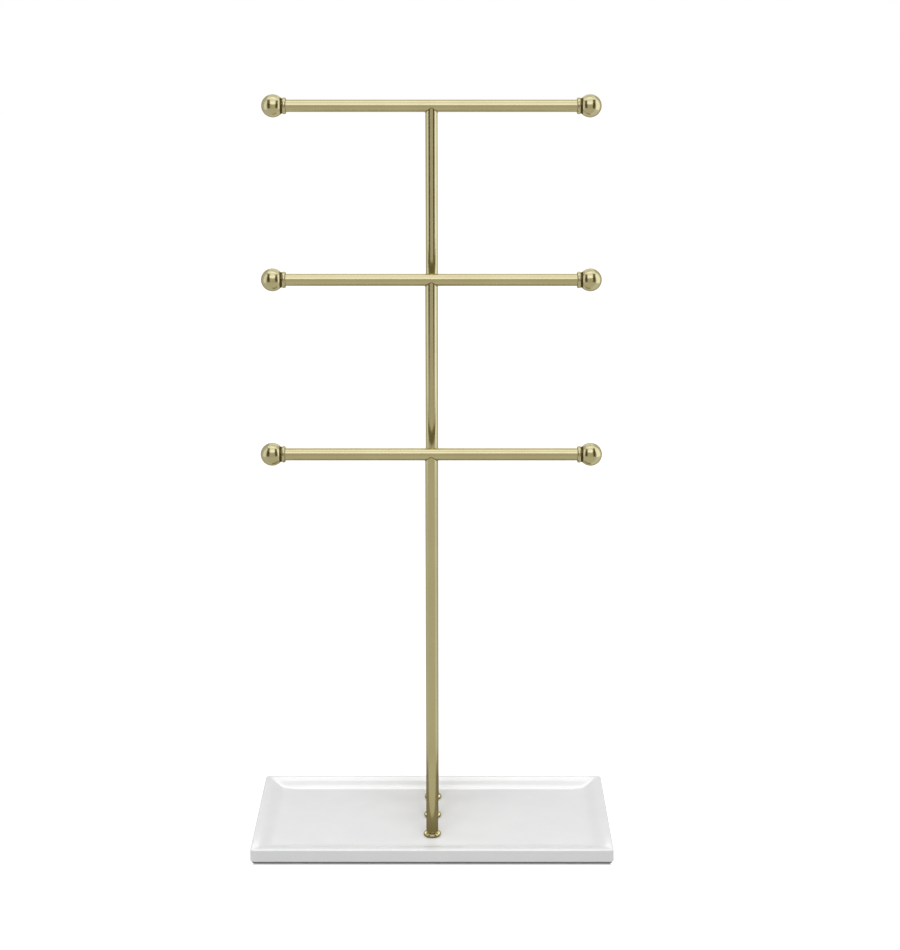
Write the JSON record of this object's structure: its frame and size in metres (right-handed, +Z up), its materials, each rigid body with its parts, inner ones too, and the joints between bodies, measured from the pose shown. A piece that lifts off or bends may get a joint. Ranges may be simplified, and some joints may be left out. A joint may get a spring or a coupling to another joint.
{
  "type": "jewellery stand",
  "caption": "Free-standing jewellery stand: a shallow dished tray that carries a row of T-shaped tube hangers with ball ends, each higher than the one in front.",
  "frame": {"origin": "centre of the underside of the base pad, where the stand rests", "axes": "+X along the bars to the right as seen from the front, +Y from front to back, +Z up"},
  "size_m": [0.242, 0.1234, 0.4972],
  "materials": {
    "tray_gloss": "gloss white moulding",
    "pad_foam": "matt closed-cell foam sheet",
    "plate_steel": "zinc-plated steel plate",
    "satin_brass": "satin, pale brass",
    "screw_steel": "bright zinc-plated"
  },
  "bodies": {
    "base": {"tray": "tray_gloss", "ballast_plate": "plate_steel", "base_pad": "pad_foam", "front_foot_washer": "screw_steel", "middle_foot_washer": "screw_steel", "back_foot_washer": "screw_steel"},
    "front_hanger": {"front_post": "satin_brass", "front_crossbar": "satin_brass", "front_foot_collar": "satin_brass", "front_left_collar": "satin_brass", "front_right_collar": "satin_brass", "front_left_finial": "satin_brass", "front_right_finial": "satin_brass", "front_foot_screw": "screw_steel"},
    "middle_hanger": {"middle_post": "satin_brass", "middle_crossbar": "satin_brass", "middle_foot_collar": "satin_brass", "middle_left_collar": "satin_brass", "middle_right_collar": "satin_brass", "middle_left_finial": "satin_brass", "middle_right_finial": "satin_brass", "middle_foot_screw": "screw_steel"},
    "back_hanger": {"back_post": "satin_brass", "back_crossbar": "satin_brass", "back_foot_collar": "satin_brass", "back_left_collar": "satin_brass", "back_right_collar": "satin_brass", "back_left_finial": "satin_brass", "back_right_finial": "satin_brass", "back_foot_screw": "screw_steel"}
  },
  "joints": [
    {"name": "front_hanger_turn", "type": "hinge", "parent": "base", "child": "front_hanger", "pos_m": [0, -0.0306, 0.0062], "axis": [0, 0, 1], "range_deg": [-70, 70]},
    {"name": "middle_hanger_turn", "type": "hinge", "parent": "base", "child": "middle_hanger", "pos_m": [0, 0, 0.0062], "axis": [0, 0, 1], "range_deg": [-70, 70]},
    {"name": "back_hanger_turn", "type": "hinge", "parent": "base", "child": "back_hanger", "pos_m": [0, 0.0306, 0.0062], "axis": [0, 0, 1], "range_deg": [-90, 90]}
  ]
}
